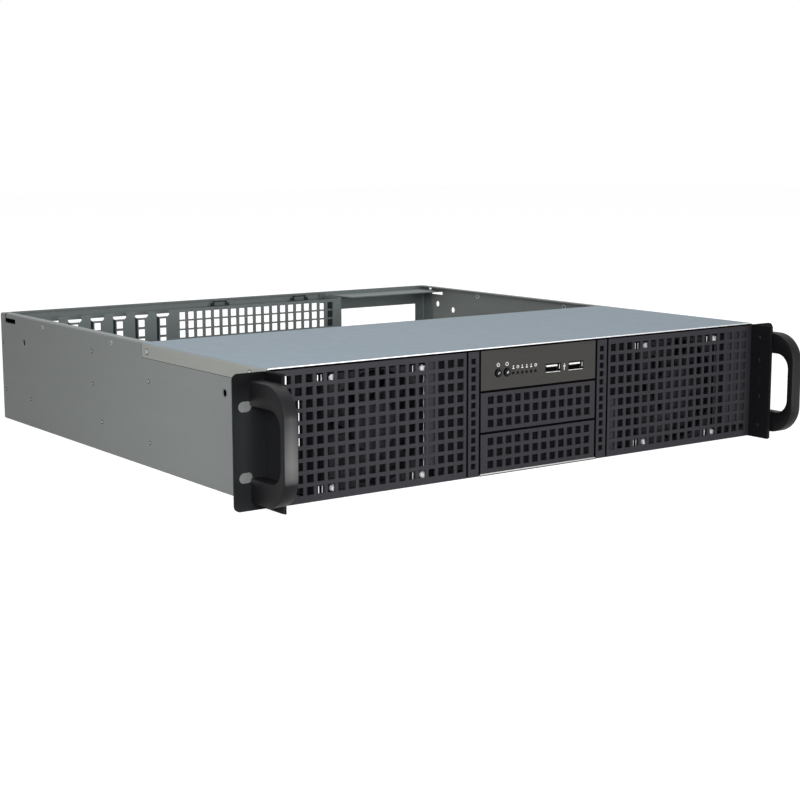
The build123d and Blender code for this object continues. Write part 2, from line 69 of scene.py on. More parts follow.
# The studio: a wide pale floor under a large lamp overhead, and three small lamps in front,
# low in front and at the left side. Camera, mirror and glass rays see a white surround.
class Socket:
    """An output in a node tree. Arithmetic on it adds Math nodes."""

    def __init__(self, tree, output=None):
        self.tree = tree
        self.output = output

    def node(self, kind, values=(), settings=(), output=0):
        """Adds a node with its settings, then the values or links of its sockets."""
        made = self.tree.nodes.new(kind)
        for name, value in dict(settings).items():
            setattr(made, name, value)
        pairs = values.items() if isinstance(values, dict) else enumerate(values)
        for key, value in pairs:
            if isinstance(value, Socket):
                self.tree.links.new(value.output, made.inputs[key])
            else:
                made.inputs[key].default_value = value
        return Socket(self.tree, made.outputs[output] if made.outputs else None)

    def math(self, operation, *values):
        return self.node("ShaderNodeMath", values, {"operation": operation})

    def __add__(self, other):
        return self.math("ADD", self, other)

    def __sub__(self, other):
        return self.math("SUBTRACT", self, other)

    def __rsub__(self, other):
        return self.math("SUBTRACT", other, self)

    def __mul__(self, other):
        return self.math("MULTIPLY", self, other)

    __radd__ = __add__
    __rmul__ = __mul__


def empty_tree(owner):
    """The start of an owner's node tree, with nothing in it yet."""
    owner.use_nodes = True
    owner.node_tree.nodes.clear()
    return Socket(owner.node_tree)


def sight(start):
    """1 for rays that show the background, and 0 for those that light the case."""
    path = start.tree.nodes.new("ShaderNodeLightPath")
    kinds = ("Camera", "Glossy", "Transmission")
    camera_ray, glossy_ray, glass_ray = (Socket(start.tree, path.outputs[f"Is {kind} Ray"]) for kind in kinds)
    return start.math("MAXIMUM", start.math("MAXIMUM", camera_ray, glossy_ray), glass_ray)


world = bpy.data.worlds.new("studio")
bpy.context.scene.world = world
air = empty_tree(world)
surround = air.node("ShaderNodeBackground", {"Color": (1, 1, 1, 1), "Strength": 1.0})
soft_fill = air.node("ShaderNodeBackground", {"Color": (0.97, 0.99, 1, 1), "Strength": 0.2})
around = air.node("ShaderNodeMixShader", [sight(air), soft_fill, surround])
air.node("ShaderNodeOutputWorld", {"Surface": around})

floor_half = 6.0
floor_shape = bmesh.new()
bmesh.ops.create_grid(floor_shape, x_segments=1, y_segments=1, size=floor_half)
floor_mesh = bpy.data.meshes.new("floor")
floor_shape.to_mesh(floor_mesh)
floor_shape.free()
floor = bpy.data.objects.new("floor", floor_mesh)
bpy.context.scene.collection.objects.link(floor)
floor_paper = bpy.data.materials.new("floor_paper")
paper = empty_tree(floor_paper)
matt = paper.node("ShaderNodeBsdfDiffuse", {"Color": (0.3, 0.3, 0.3, 1)})
glow = paper.node("ShaderNodeEmission", {"Color": (1, 1, 1, 1), "Strength": sight(paper) * 0.93})
paper.node("ShaderNodeOutputMaterial", {"Surface": paper.node("ShaderNodeAddShader", [matt, glow])})
floor_mesh.materials.append(floor_paper)


def soft_box(name, place, aim, size, power, spread=180):
    """A square lamp that looks at a point of the case."""
    data = bpy.data.lights.new(name, "AREA")
    data.size = size
    data.energy = power
    data.spread = math.radians(spread)
    lamp = bpy.data.objects.new(name, data)
    way = Vector(aim) - Vector(place)
    lamp.matrix_world = Matrix.Translation(place) @ way.to_track_quat("-Z", "Y").to_matrix().to_4x4()
    bpy.context.scene.collection.objects.link(lamp)


soft_box("top_lamp", (0.5, 0.3, 2.0), (0.05, 0, 0), 1.8, 21)
soft_box("key_lamp", (-0.35, -0.85, 0.28), (-0.1, -0.2, 0.04), 0.4, 3.4)
soft_box("low_lamp", (0.4, -1.25, 0.12), (-0.2, -0.2, 0.04), 0.36, 8.5)
soft_box("side_lamp", (-0.66, -0.52, 0.3), (-0.22, -0.13, 0.04), 0.4, 0.45, 50)


# The body: floor and side walls, front cover, rear panel and rail, drive cage. All are
# folded from galvanised sheet, whose zinc grains show as faint patches.
def seen(red, green, blue):
    """A colour as it is read from a picture, made linear."""
    levels = [channel / 255 for channel in (red, green, blue)]
    linear = [level / 12.92 if level < 0.04045 else ((level + 0.055) / 1.055) ** 2.4 for level in levels]
    return (*linear, 1)


def new_finish(name):
    """A material with an empty tree, and the start of that tree."""
    finish = bpy.data.materials.new(name)
    return finish, empty_tree(finish)


def noise(start, scale, detail=2.0, stretch=(1, 1, 1)):
    """Noise fixed to the piece, from 0 to 1. A stretch below 1 draws it out."""
    place = start.node("ShaderNodeTexCoord", output=3)
    drawn = start.node("ShaderNodeMapping", {"Vector": place, "Scale": stretch})
    return start.node("ShaderNodeTexNoise", {"Vector": drawn, "Scale": scale, "Detail": detail})


def tint(start, mask, first, second):
    """A colour between two, mixed by a mask."""
    values = {"Factor": mask, "A": first, "B": second}
    made = start.tree.nodes.new("ShaderNodeMix")
    made.data_type = "RGBA"
    for socket in made.inputs:
        if socket.enabled and socket.name in values:
            value = values[socket.name]
            if isinstance(value, Socket):
                start.tree.links.new(value.output, socket)
            else:
                socket.default_value = value
    return Socket(start.tree, next(socket for socket in made.outputs if socket.enabled))


def bump(start, height, strength, distance):
    return start.node("ShaderNodeBump", {"Height": height, "Strength": strength, "Distance": distance})


def shine(start, values):
    """Joins a Principled shader with these values to the material's output."""
    shader = start.node("ShaderNodeBsdfPrincipled", values)
    start.node("ShaderNodeOutputMaterial", {"Surface": shader})


def above(start, axis, level, width):
    """A mask: 1 where the piece is beyond a level along an axis, 0 before it."""
    place = start.node("ShaderNodeTexCoord", output=3)
    coordinate = start.node("ShaderNodeSeparateXYZ", [place], output="XYZ".index(axis))
    values = {"Value": coordinate, "From Min": level - width, "From Max": level}
    return start.node("ShaderNodeMapRange", values)


def zinc_coat(name, light, dark, upper=None, upper_level=None):
    """Galvanised sheet. The upper face may take other tones, a painted reflection."""
    finish, start = new_finish(name)
    place = start.node("ShaderNodeTexCoord", output=3)
    cells = start.node("ShaderNodeTexVoronoi", {"Vector": place, "Scale": 190.0}, output=1)
    patches = start.node("ShaderNodeSeparateColor", [cells])
    cloud = noise(start, 7.0, 3.0)
    streaks = noise(start, 130.0, 2.0, (1, 0.06, 1))
    mask = patches * 0.22 + cloud * 0.5 + streaks * 0.28
    colour = tint(start, mask, dark, light)
    if upper:
        colour = tint(start, above(start, "Z", upper_level, 1.0 * mm), colour, tint(start, mask, *upper))
    values = {
        "Base Color": colour,
        "Metallic": 0.25,
        "Roughness": 0.5 + patches * 0.06 + cloud * 0.08,
        "Specular IOR Level": 0.3,
        "Normal": bump(start, streaks, 0.08, 0.0002),
    }
    shine(start, values)
    return finish


def paint(finish, *names):
    """Gives CAD nodes a finish."""
    for name in names:
        nodes[name].data.materials.clear()
        nodes[name].data.materials.append(finish)


zinc = zinc_coat("zinc", seen(134, 138, 137), seen(121, 125, 124))
paint(zinc, "base_tray")
# The cover's top is darker and bluer than its sides: painted reflection of the surround.
painted_top_reflection = (seen(115, 129, 139), seen(124, 137, 147))
cover_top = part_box("front_cover")[1].z
cover_zinc = zinc_coat("cover_zinc", seen(158, 160, 155), seen(144, 146, 142), painted_top_reflection, cover_top)
paint(cover_zinc, "front_cover")
# The rear panel, rail and drive cage take a darker zinc: painted shade inside the case.
painted_shade_rear_zinc = zinc_coat("painted_shade_rear_zinc", seen(112, 119, 119), seen(98, 105, 105))
paint(painted_shade_rear_zinc, "rear_panel", "rear_rail", "drive_cage")


# The cover's front edge and the lip under the bays: sheared edges of the same sheet, bare zinc whose
# near-white tone is partly painted highlight. The black strip under the cover's edge is painted shadow of the
# gap, and the lip's lower half is a dark zinc, painted shade.
def to_piece(name, shape, finishes, body="chassis", smooth=None):
    """Makes a finished bmesh a piece that rides on a body."""
    bmesh.ops.recalc_face_normals(shape, faces=shape.faces)
    mesh = bpy.data.meshes.new(name)
    if smooth is not None:
        for face in shape.faces:
            face.smooth = True
    shape.to_mesh(mesh)
    shape.free()
    for finish in finishes:
        mesh.materials.append(finish)
    if smooth is not None:
        mesh.set_sharp_from_angle(angle=math.radians(smooth))
    piece = bpy.data.objects.new(name, mesh)
    bpy.context.scene.collection.objects.link(piece)
    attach(piece, body)
    return piece


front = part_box("centre_frame")[0].y


def spot(x, y, z):
    """A point given in millimetres: right of the middle, behind the front, up."""
    return Vector((x * mm, front + y * mm, z * mm))


def add_bar(shape, low, high, edge=0.0, segments=2, material=0):
    """A block between two corners, its edges rounded by edge."""
    middle = (Vector(low) + Vector(high)) / 2
    size = Vector(high) - Vector(low)
    matrix = Matrix.Translation(middle) @ Matrix.Diagonal((*size, 1))
    verts = bmesh.ops.create_cube(shape, size=1, matrix=matrix)["verts"]
    faces = list({face for vert in verts for face in vert.link_faces})
    for face in faces:
        face.material_index = material
    if edge:
        edges = list({item for vert in verts for item in vert.link_edges})
        bmesh.ops.bevel(
            shape, geom=edges, offset=edge, segments=segments, profile=0.5, affect="EDGES", material=-1
        )


def metal(name, light, dark, roughness, metallic=1.0):
    finish, start = new_finish(name)
    cloud = noise(start, 220.0, 2.0)
    values = {
        "Base Color": tint(start, cloud, dark, light),
        "Metallic": metallic,
        "Roughness": roughness + cloud * 0.12,
    }
    shine(start, values)
    return finish


def moulding(name, light, dark, roughness, specular=0.2):
    """Moulded plastic: a soft cloud of tone over a fine grain."""
    finish, start = new_finish(name)
    cloud = noise(start, 60.0, 2.0)
    values = {
        "Base Color": tint(start, cloud, dark, light),
        "Roughness": roughness + cloud * 0.1,
        "Specular IOR Level": specular,
        "Normal": bump(start, noise(start, 1200.0, 2.0), 0.1, 0.0001),
    }
    shine(start, values)
    return finish


# A near-white finish for painted highlight on edges and screw heads, and a black one for painted shade in
# gaps, holes and seams.
painted_highlight = metal("painted_highlight", seen(246, 246, 246), seen(226, 228, 230), 0.35, 0.2)
painted_shade_black = moulding("painted_shade_black", seen(9, 9, 10), seen(4, 4, 5), 0.9, 0.0)
cover_low, cover_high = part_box("front_cover")
cover_sheet = 1.0 * mm
edge_proud = 0.2 * mm
edge_height = 0.66 * mm
gap_top = cover_high.z - 0.78 * mm
gap_height = 1.1 * mm
gap_inset = 2.0 * mm
cover_edge = bmesh.new()
add_bar(
    cover_edge,
    (cover_low.x + cover_sheet, cover_low.y - edge_proud, cover_high.z - edge_height),
    (cover_high.x - cover_sheet, cover_low.y + edge_proud, cover_high.z),
    0.15 * mm,
)
to_piece("cover_front_edge", cover_edge, [painted_highlight], smooth=40)
cover_gap_shadow = bmesh.new()
add_bar(
    cover_gap_shadow,
    (cover_low.x + gap_inset, front - 0.3 * mm, gap_top - gap_height),
    (cover_high.x - gap_inset, front + 0.2 * mm, gap_top),
)
to_piece("cover_gap_shadow", cover_gap_shadow, [painted_shade_black])

bays_low, bays_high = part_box("lower_bay_cover")
painted_lit_lip_zinc = zinc_coat("painted_lit_lip_zinc", seen(204, 203, 201), seen(190, 189, 187))
painted_shade_fold_zinc = zinc_coat("painted_shade_fold_zinc", seen(50, 51, 52), seen(42, 43, 44))
lip_left = bays_low.x - 0.3 * mm
lip_right = bays_high.x + 0.3 * mm
lip_front = front - 0.7 * mm
lip_back = front - 0.15 * mm
lip_top = 1.4 * mm
fold_top = 0.69 * mm
lip_hem = bmesh.new()
add_bar(lip_hem, (lip_left, lip_front, 0.7 * mm), (lip_right, lip_back, lip_top), 0.15 * mm)
to_piece("lip_hem", lip_hem, [painted_lit_lip_zinc], smooth=40)
lip_fold = bmesh.new()
add_bar(lip_fold, (lip_left, lip_front, 0.0), (lip_right, lip_back, fold_top))
to_piece("lip_fold", lip_fold, [painted_shade_fold_zinc])


# The black front: frame, two perforated panels, two bay covers, control plate, ears and
# fan brackets, all of cold-rolled sheet under a fine satin powder coat.
def powder_coat(name, light, dark, roughness, specular, painted_shade_tones=None):
    """Satin coat. It may turn to another tone, a painted shade, before or beyond a level: the last argument
    gives the axis, the level, the width of the change and the tones on each side, None for the coat's.
    """
    finish, start = new_finish(name)
    skin = noise(start, 900.0, 2.0)
    cloud = noise(start, 14.0, 2.0)
    colour = tint(start, cloud, dark, light)
    if painted_shade_tones:
        axis, level, width, first, second = painted_shade_tones
        tones = [colour if tone is None else tone for tone in (first, second)]
        colour = tint(start, above(start, axis, level, width), *tones)
    values = {
        "Base Color": colour,
        "Roughness": roughness + cloud * 0.08,
        "Specular IOR Level": specular,
        "Normal": bump(start, skin, 0.3, 0.0002),
    }
    shine(start, values)
    return finish


# Painted shade: the coat darkens on the sides folded back from the front and toward the ears' top.
fold_level = front - 0.3 * mm
painted_fold_shade = ("Y", fold_level, 0.6 * mm, seen(26, 26, 29), None)
ear_shade_level = 82 * mm
painted_ear_shade = ("Z", ear_shade_level, 16 * mm, None, seen(13, 13, 15))
front_black = powder_coat("front_black", seen(56, 55, 59), seen(48, 47, 51), 0.6, 0.04, painted_fold_shade)
paint(front_black, "centre_frame", "left_mesh_panel", "right_mesh_panel")
paint(front_black, "upper_bay_cover", "lower_bay_cover")
plate_black = powder_coat("plate_black", seen(64, 63, 61), seen(57, 56, 54), 0.6, 0.05)
paint(plate_black, "control_faceplate")
ear_black = powder_coat("ear_black", seen(37, 38, 40), seen(25, 26, 28), 0.5, 0.04, painted_ear_shade)
paint(ear_black, "left_ear_bracket", "right_ear_bracket")
# The fan brackets' near-black coat is painted shade of the case's inside.
painted_shade_inner_black = powder_coat("painted_shade_inner_black", seen(16, 16, 19), seen(11, 11, 13), 0.6, 0.03)
paint(painted_shade_inner_black, "left_fan_bracket", "right_fan_bracket")


# Gaps between the front's panels: black strips laid in the seams, painted shadow that makes each gap a dark
# line.
seam_shading = bmesh.new()
panel_low, panel_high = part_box("centre_frame")
seam_proud = 0.12 * mm
seam_half = 0.75 * mm
outer_seams = (panel_low.x - 0.2 * mm, panel_high.x + 0.2 * mm)
inner_seams = (bays_low.x - 0.6 * mm, bays_high.x + 0.6 * mm)
for x in outer_seams + inner_seams:
    low = (x - seam_half, front - seam_proud, panel_low.z + 1.0 * mm)
    high = (x + seam_half, front + 1.0 * mm, panel_high.z)
    add_bar(seam_shading, low, high)
for upper, lower in (("control_faceplate", "upper_bay_cover"), ("upper_bay_cover", "lower_bay_cover")):
    middle = (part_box(upper)[0].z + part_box(lower)[1].z) / 2
    low = (bays_low.x, front - seam_proud, middle - seam_half)
    high = (bays_high.x, front + 1.0 * mm, middle + seam_half)
    add_bar(seam_shading, low, high)
to_piece("panel_seam_shadows", seam_shading, [painted_shade_black])


# Painted shade: thin black sheets behind the bays, the frame's strips and the parts of the meshes that the
# fan brackets leave open, standing for the dark inside of the case.
shade_sheet_finish, shade_sheet_start = new_finish("shade_sheet_finish")
shade_sheet_grain = noise(shade_sheet_start, 1600.0, 4.0)
shine(
    shade_sheet_start,
    {
        "Base Color": tint(shade_sheet_start, shade_sheet_grain, seen(10, 10, 12), seen(26, 26, 29)),
        "Roughness": 0.9 + shade_sheet_grain * 0.1,
        "Specular IOR Level": 0.0,
        "Normal": bump(shade_sheet_start, shade_sheet_grain, 0.5, 0.0005),
    },
)
shade_sheet_front = front + 2.0 * mm
shade_sheet_thick = 2.0 * mm
shade_sheets = bmesh.new()
strip_inset = 2.5 * mm
frame_strips = (
    (panel_low.x + strip_inset, bays_low.x - strip_inset),
    (bays_high.x + strip_inset, panel_high.x - strip_inset),
)
side_strips = ((-200.6, -187.5), (-85.6, -63.0), (69.6, 87.4), (184.0, 213.4))
for x0, x1 in frame_strips + tuple((x0 * mm, x1 * mm) for x0, x1 in side_strips):
    add_bar(shade_sheets, (x0, shade_sheet_front, 6.0 * mm), (x1, shade_sheet_front + shade_sheet_thick, 82.5 * mm))
for name in ("upper_bay_cover", "lower_bay_cover"):
    low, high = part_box(name)
    corner = Vector((low.x + 2.0 * mm, shade_sheet_front, low.z + 1.8 * mm))
    add_bar(shade_sheets, corner, (high.x - 2.0 * mm, shade_sheet_front + shade_sheet_thick, high.z - 1.8 * mm))
to_piece("painted_shade_sheets", shade_sheets, [shade_sheet_finish])


# Bow handles: a bar of black anodised aluminium bent round in front of each ear, with
# softened edges, held by two screws from behind.
def bow_line(shape, x, y_front, y_back, low, high, radius, segments):
    """Three sides of a rectangle with two rounded corners, as a row of edges."""
    corners = [(x, y_back, low), (x, y_front, low), (x, y_front, high), (x, y_back, high)]
    points = [shape.verts.new(corner) for corner in corners]
    for one, other in zip(points, points[1:]):
        shape.edges.new((one, other))
    bmesh.ops.bevel(
        shape,
        geom=points[1:3],
        offset=radius,
        segments=segments,
        profile=0.5,
        affect="VERTICES",
        material=-1,
    )


def along_side(edge):
    """Whether an edge lies in one upright plane along the bar's side."""
    return abs(edge.verts[0].co.x - edge.verts[1].co.x) < 1e-6


handle_leg = 15.4 * mm
handle_grip = 5.2 * mm
handle_outer_radius = 21.0 * mm
handle_trim = 1.0 * mm
handle_inner_radius = 11.0 * mm
handle_softening = 0.7 * mm
arc_segments = 16
sharp_turn = 1.0
handle_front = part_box("left_handle")[0].y
worn_middle = 34.0 * mm
worn_half = 34.0 * mm


def anodised_coat(name, wear):
    """Black anodising, rubbed smooth on the front of the grip by hands."""
    finish, start = new_finish(name)
    cloud = noise(start, 20.0, 2.0)
    place = start.node("ShaderNodeTexCoord", output=3)
    height = start.node("ShaderNodeSeparateXYZ", [place], output=2)
    away = start.math("ABSOLUTE", height - worn_middle) * (1 / worn_half)
    front_face = 1 - above(start, "Y", handle_front + 0.5 * mm, 0.4 * mm)
    rubbed = start.math("MAXIMUM", 1 - away, 0.0) * front_face
    values = {
        "Base Color": tint(start, cloud, seen(16, 16, 18), seen(23, 23, 25)),
        "Roughness": 0.46 + cloud * 0.06,
        "Specular IOR Level": 0.12,
        "Coat Weight": rubbed * (cloud * 0.3 + 0.85) * wear,
        "Coat Roughness": 0.42,
        "Coat IOR": 1.6,
        "Normal": bump(start, noise(start, 700.0, 2.0), 0.2, 0.0001),
    }
    shine(start, values)
    return finish


anodised = {"left": anodised_coat("anodised_worn", 1.3), "right": anodised_coat("anodised", 0.1)}
for side in sides:
    low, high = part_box(f"{side}_handle")
    low.z += handle_trim
    high.z -= handle_trim
    bow = bmesh.new()
    bow_line(bow, low.x, low.y, high.y, low.z, high.z, handle_outer_radius, arc_segments)
    inside_low = low.z + handle_leg
    inside_high = high.z - handle_leg
    inside_front = low.y + handle_grip
    bow_line(bow, low.x, inside_front, high.y, inside_low, inside_high, handle_inner_radius, arc_segments)
    bmesh.ops.bridge_loops(bow, edges=bow.edges[:])
    risen = bmesh.ops.extrude_face_region(bow, geom=bow.faces[:])["geom"]
    risen = [item for item in risen if isinstance(item, bmesh.types.BMVert)]
    bmesh.ops.translate(bow, verts=risen, vec=(high.x - low.x, 0, 0))
    bmesh.ops.recalc_face_normals(bow, faces=bow.faces)
    rims = [edge for edge in bow.edges if along_side(edge) and edge.calc_face_angle(0) > sharp_turn]
    rims = [edge for edge in rims if min(vert.co.y for vert in edge.verts) < high.y - 0.1 * mm]
    bmesh.ops.bevel(
        bow,
        geom=rims,
        offset=handle_softening,
        segments=2,
        profile=0.5,
        affect="EDGES",
        material=-1,
        clamp_overlap=True,
    )
    piece = to_piece(f"{side}_bow", bow, [anodised[side]], smooth=28)
    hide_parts(f"{side}_handle")


# Screws of the handles, the ears' folded sides and the fans: zinc-plated or black pan
# heads with a cross recess.
def add_disc(shape, centre, way, radius, depth, rim=16, top_radius=None):
    """A closed round block that starts at centre and grows along way."""
    turn = Vector((0, 0, 1)).rotation_difference(Vector(way)).to_matrix().to_4x4()
    middle = Vector(centre) + Vector(way).normalized() * depth / 2
    return bmesh.ops.create_cone(
        shape,
        cap_ends=True,
        cap_tris=False,
        segments=rim,
        radius1=radius,
        radius2=radius if top_radius is None else top_radius,
        depth=depth,
        matrix=Matrix.Translation(middle) @ turn,
    )["verts"]


def end_face(verts, way):
    """The face of a block that lies furthest along way."""
    faces = {face for vert in verts for face in vert.link_faces}
    return max(faces, key=lambda face: face.calc_center_median().dot(Vector(way)))


def add_screw(shape, centre, way, radius, depth):
    """A pan head. Twelve corners of its drawn-in end are moved to a cross and sunk."""
    axis = Vector(way).normalized()
    top = end_face(add_disc(shape, centre, axis, radius, depth, 12, radius * 0.8), axis)
    bmesh.ops.inset_region(shape, faces=[top], thickness=radius * 0.2)
    middle = top.calc_center_median()
    across = (top.verts[0].co - middle).normalized()
    beside = top.normal.cross(across)
    arm = radius * 0.5
    half_arm = radius * 0.15
    for index, vert in enumerate(top.verts):
        quarter, corner = divmod(index, 3)
        reach = (arm, half_arm, half_arm)[corner]
        swing = (half_arm, half_arm, arm)[corner]
        turn = Matrix.Rotation(math.radians(90 * quarter), 3, top.normal)
        vert.co = middle + turn @ (across * reach + beside * swing)
    bmesh.ops.inset_region(shape, faces=[top], thickness=radius * 0.02)
    bmesh.ops.translate(shape, verts=top.verts, vec=-axis * depth * 0.5)


screw_steel = metal("screw_steel", seen(206, 207, 209), seen(172, 174, 178), 0.28)
screw_black = moulding("screw_black", seen(30, 30, 32), seen(22, 22, 24), 0.35)
flange_rows = ((-8.8, 77.2), (-8.9, 59.8), (-10.0, 32.1), (-9.1, 9.9))
flange_slot = (-10.0, 44.05)
flange_slot_size = (2.4, 8.5)
for side, out in sides.items():
    low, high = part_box(f"{side}_handle")
    ear_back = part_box(f"{side}_ear_bracket")[1].y
    heads = bmesh.new()
    for z in (low.z + handle_leg / 2, high.z - handle_leg / 2):
        add_screw(heads, ((low.x + high.x) / 2, ear_back, z), (0, 1, 0), 3.4 * mm, 1.6 * mm)
    to_piece(f"{side}_handle_screws", heads, [screw_steel])
    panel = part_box(f"{side}_mesh_panel")
    inner_face = panel[0].x + 1.2 * mm if out < 0 else panel[1].x - 1.2 * mm
    heads = bmesh.new()
    for y, z in flange_rows:
        place = spot(0, y, z)
        place.x = inner_face
        add_screw(heads, place, (-out, 0, 0), 1.7 * mm, 0.5 * mm)
    to_piece(f"{side}_ear_screws", heads, [screw_black])
    # The slot in each folded side is a thin black inlay: painted shade in the hole.
    slot_shade = bmesh.new()
    middle = spot(0, *flange_slot)
    half_size = Vector((0.1, flange_slot_size[0] / 2, flange_slot_size[1] / 2)) * mm
    middle.x = inner_face
    add_bar(slot_shade, middle - half_size, middle + half_size, 0.08 * mm)
    to_piece(f"{side}_ear_slot_shade", slot_shade, [screw_black])


# Fans: black glass-filled nylon housings and rotors behind the meshes, with a plain label on the hub. The
# corner screws, the thin bars beside them and the strips along the brackets are near-white, painted
# highlight; the bars and strips stand for glints on the brackets' edges.
fan_black = moulding("fan_black", seen(30, 30, 34), seen(20, 20, 23), 0.45, 0.1)
paint(fan_black, *(f"{side}_{part}" for side in sides for part in ("fan_frame", "fan_rotor")))
label_grey = moulding("label_grey", seen(45, 45, 50), seen(36, 36, 41), 0.5, 0.03)
# The strips close behind the mesh take a lighter grey than the brackets' coat: painted light on the brackets.
painted_lit_bracket_grey = powder_coat("painted_lit_bracket_grey", seen(47, 46, 51), seen(38, 38, 42), 0.6, 0.1)
fan_screw_pitch = 71.5 * mm
glint_reaches = {-0.5: (9.2, 12.0), 0.5: (9.2,)}
glint_size = Vector((0.6, 0.4, 5.6)) * mm
# In millimetres. Edge strips: left end from the fan's middle, depth behind the front, then
# bottom and top. Fold strips: both ends from the fan's middle, then bottom and top.
edge_strips = {"left": ((-62.6, 1.5, 34.0, 66.0), (36.8, 4.0, 9.0, 79.0)), "right": ()}
fold_strips = {
    "left": ((36.6, 45.5, 11.5, 83.0),),
    "right": ((34.3, 39.0, 11.5, 74.5), (45.4, 69.3, 11.5, 83.0), (-75.0, -66.8, 4.0, 43.0)),
}
label_radius = 16.5 * mm
for side in sides:
    low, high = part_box(f"{side}_fan_rotor")
    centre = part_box(f"{side}_fan_frame")
    centre = (centre[0] + centre[1]) / 2
    label = bmesh.new()
    add_disc(label, (centre.x, low.y, centre.z), (0, -1, 0), label_radius, 0.1 * mm, 40)
    to_piece(f"{side}_hub_label", label, [label_grey], f"{side}_fan_rotor")
    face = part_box(f"{side}_fan_frame")[0].y - 1.0 * mm
    heads = bmesh.new()
    glints = bmesh.new()
    for across in (-0.5, 0.5):
        for rise in (-0.5, 0.5):
            place = Vector((centre.x + across * fan_screw_pitch, face, centre.z + rise * fan_screw_pitch))
            add_disc(heads, place, (0, -1, 0), 2.0 * mm, 1.0 * mm, 12)
            add_screw(heads, place - Vector((0, 1.0 * mm, 0)), (0, -1, 0), 2.5 * mm, 1.6 * mm)
            for reach in glint_reaches[across]:
                corner = place - Vector((reach * mm, 2.6 * mm, glint_size.z / 2))
                add_bar(glints, corner, corner + glint_size, 0.1 * mm)
    for reach, depth, low_z, high_z in edge_strips[side]:
        x = centre.x + reach * mm
        y = front + depth * mm
        add_bar(glints, (x, y, low_z * mm), (x + 0.6 * mm, y + 0.4 * mm, high_z * mm), 0.1 * mm)
    folds = bmesh.new()
    for start_x, end_x, low_z, high_z in fold_strips[side]:
        low = (centre.x + start_x * mm, front + 1.35 * mm, low_z * mm)
        high = (centre.x + end_x * mm, front + 1.75 * mm, high_z * mm)
        add_bar(folds, low, high)
    to_piece(f"{side}_bracket_folds", folds, [painted_lit_bracket_grey])
    to_piece(f"{side}_fan_screws", heads, [painted_highlight])
    to_piece(f"{side}_bracket_glints", glints, [painted_highlight])


# Air guides: two thin sheets of black plastic that stand under the cover, beside the
# drive cage, and lead the fans' air to the rear.
guides = bmesh.new()
for x in (-62.0, 69.5):
    low = spot(x - 0.6, 36.0, 2.0)
    add_bar(guides, low, spot(x + 0.6, 166.0, 84.0), 0.4 * mm)
guide_black = moulding("guide_black", seen(18, 18, 20), seen(12, 12, 14), 0.6, 0.05)
to_piece("air_guides", guides, [guide_black], smooth=40)


# Controls: two caps with switches behind them, a board, a smoky light guide, and two nickel-plated sockets
# with white tongues. Black strips in the sockets are painted shade, and a lit nickel on their right rims is
# painted highlight.
cap_black = moulding("cap_black", seen(20, 20, 21), seen(12, 12, 13), 0.3, 0.1)
paint(cap_black, "power_button", "reset_button", "button_switches")
tongue_white = moulding("tongue_white", seen(240, 240, 236), seen(226, 226, 222), 0.4)
paint(tongue_white, "usb_tongues")
nickel = metal("nickel", seen(214, 213, 210), seen(186, 186, 186), 0.22)
paint(nickel, "left_usb_port", "right_usb_port")
nickel_lit = metal("nickel_lit", seen(226, 224, 218), seen(206, 204, 198), 0.3, 0.2)
board_green = moulding("board_green", seen(30, 86, 54), seen(22, 66, 42), 0.4)
paint(board_green, "control_board")
guide_smoke = moulding("guide_smoke", seen(12, 12, 13), seen(7, 7, 8), 0.2, 0.05)
paint(guide_smoke, "light_guide")
brass = metal("brass", seen(205, 172, 104), seen(176, 142, 78), 0.25)
paint(brass, "board_standoffs")
shell_wall = 0.45 * mm
tongue_reach = 2.4 * mm
socket_shade_proud = 0.12 * mm
socket_shade = bmesh.new()
rims = bmesh.new()
for side in sides:
    low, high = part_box(f"{side}_usb_port")
    y0 = low.y - socket_shade_proud
    y1 = low.y + socket_shade_proud
    inner_right = high.x - tongue_reach
    left_edge = low.x - 0.2 * mm
    top_edge = high.z + 0.25 * mm
    add_bar(socket_shade, (inner_right, y0, low.z + shell_wall), (high.x + 0.35 * mm, y1, top_edge))
    add_bar(socket_shade, (left_edge, y0, high.z - 0.55 * mm), (inner_right, y1, top_edge))
    add_bar(socket_shade, (left_edge, y0, low.z + shell_wall), (low.x + 0.5 * mm, y1, high.z - 1.5 * mm))
    back_shade_low = (low.x + 0.5 * mm, low.y + 0.9 * mm, low.z + shell_wall)
    add_bar(socket_shade, back_shade_low, (inner_right, low.y + 1.1 * mm, high.z - 2.6 * mm))
    add_bar(
        rims,
        (high.x - 1.1 * mm, y0 - 0.1 * mm, low.z + 2.0 * mm),
        (high.x - 0.7 * mm, y1, high.z - 0.6 * mm),
    )
to_piece("socket_shade_strips", socket_shade, [painted_shade_black])
to_piece("socket_rims", rims, [nickel_lit])


# Marks over the buttons and lamps: small plain signs printed in pale ink on the plate.
def add_ring(shape, centre, radius, width, thickness, segments=16, gap=0.0):
    """A flat ring facing the front, open at its top by gap degrees."""
    inner = Vector(centre) + Vector((radius - width, 0, 0))
    turn = Matrix.Rotation(math.radians(gap / 2 - 90), 3, "Y")
    corners = [Vector((x, y, 0)) for x, y in ((0, 0), (width, 0), (width, thickness), (0, thickness))]
    verts = [shape.verts.new(Vector(centre) + turn @ (inner + corner - Vector(centre))) for corner in corners]
    face = shape.faces.new(verts)
    bmesh.ops.spin(
        shape,
        geom=[face],
        cent=centre,
        axis=(0, 1, 0),
        angle=math.radians(360 - gap),
        steps=segments,
        use_merge=gap == 0,
    )


ink = moulding("ink", seen(228, 229, 230), seen(206, 208, 210), 0.6)
plate_face = front + 0.2 * mm
marks = bmesh.new()
ink_thickness = 0.05 * mm
mark_y = plate_face - ink_thickness


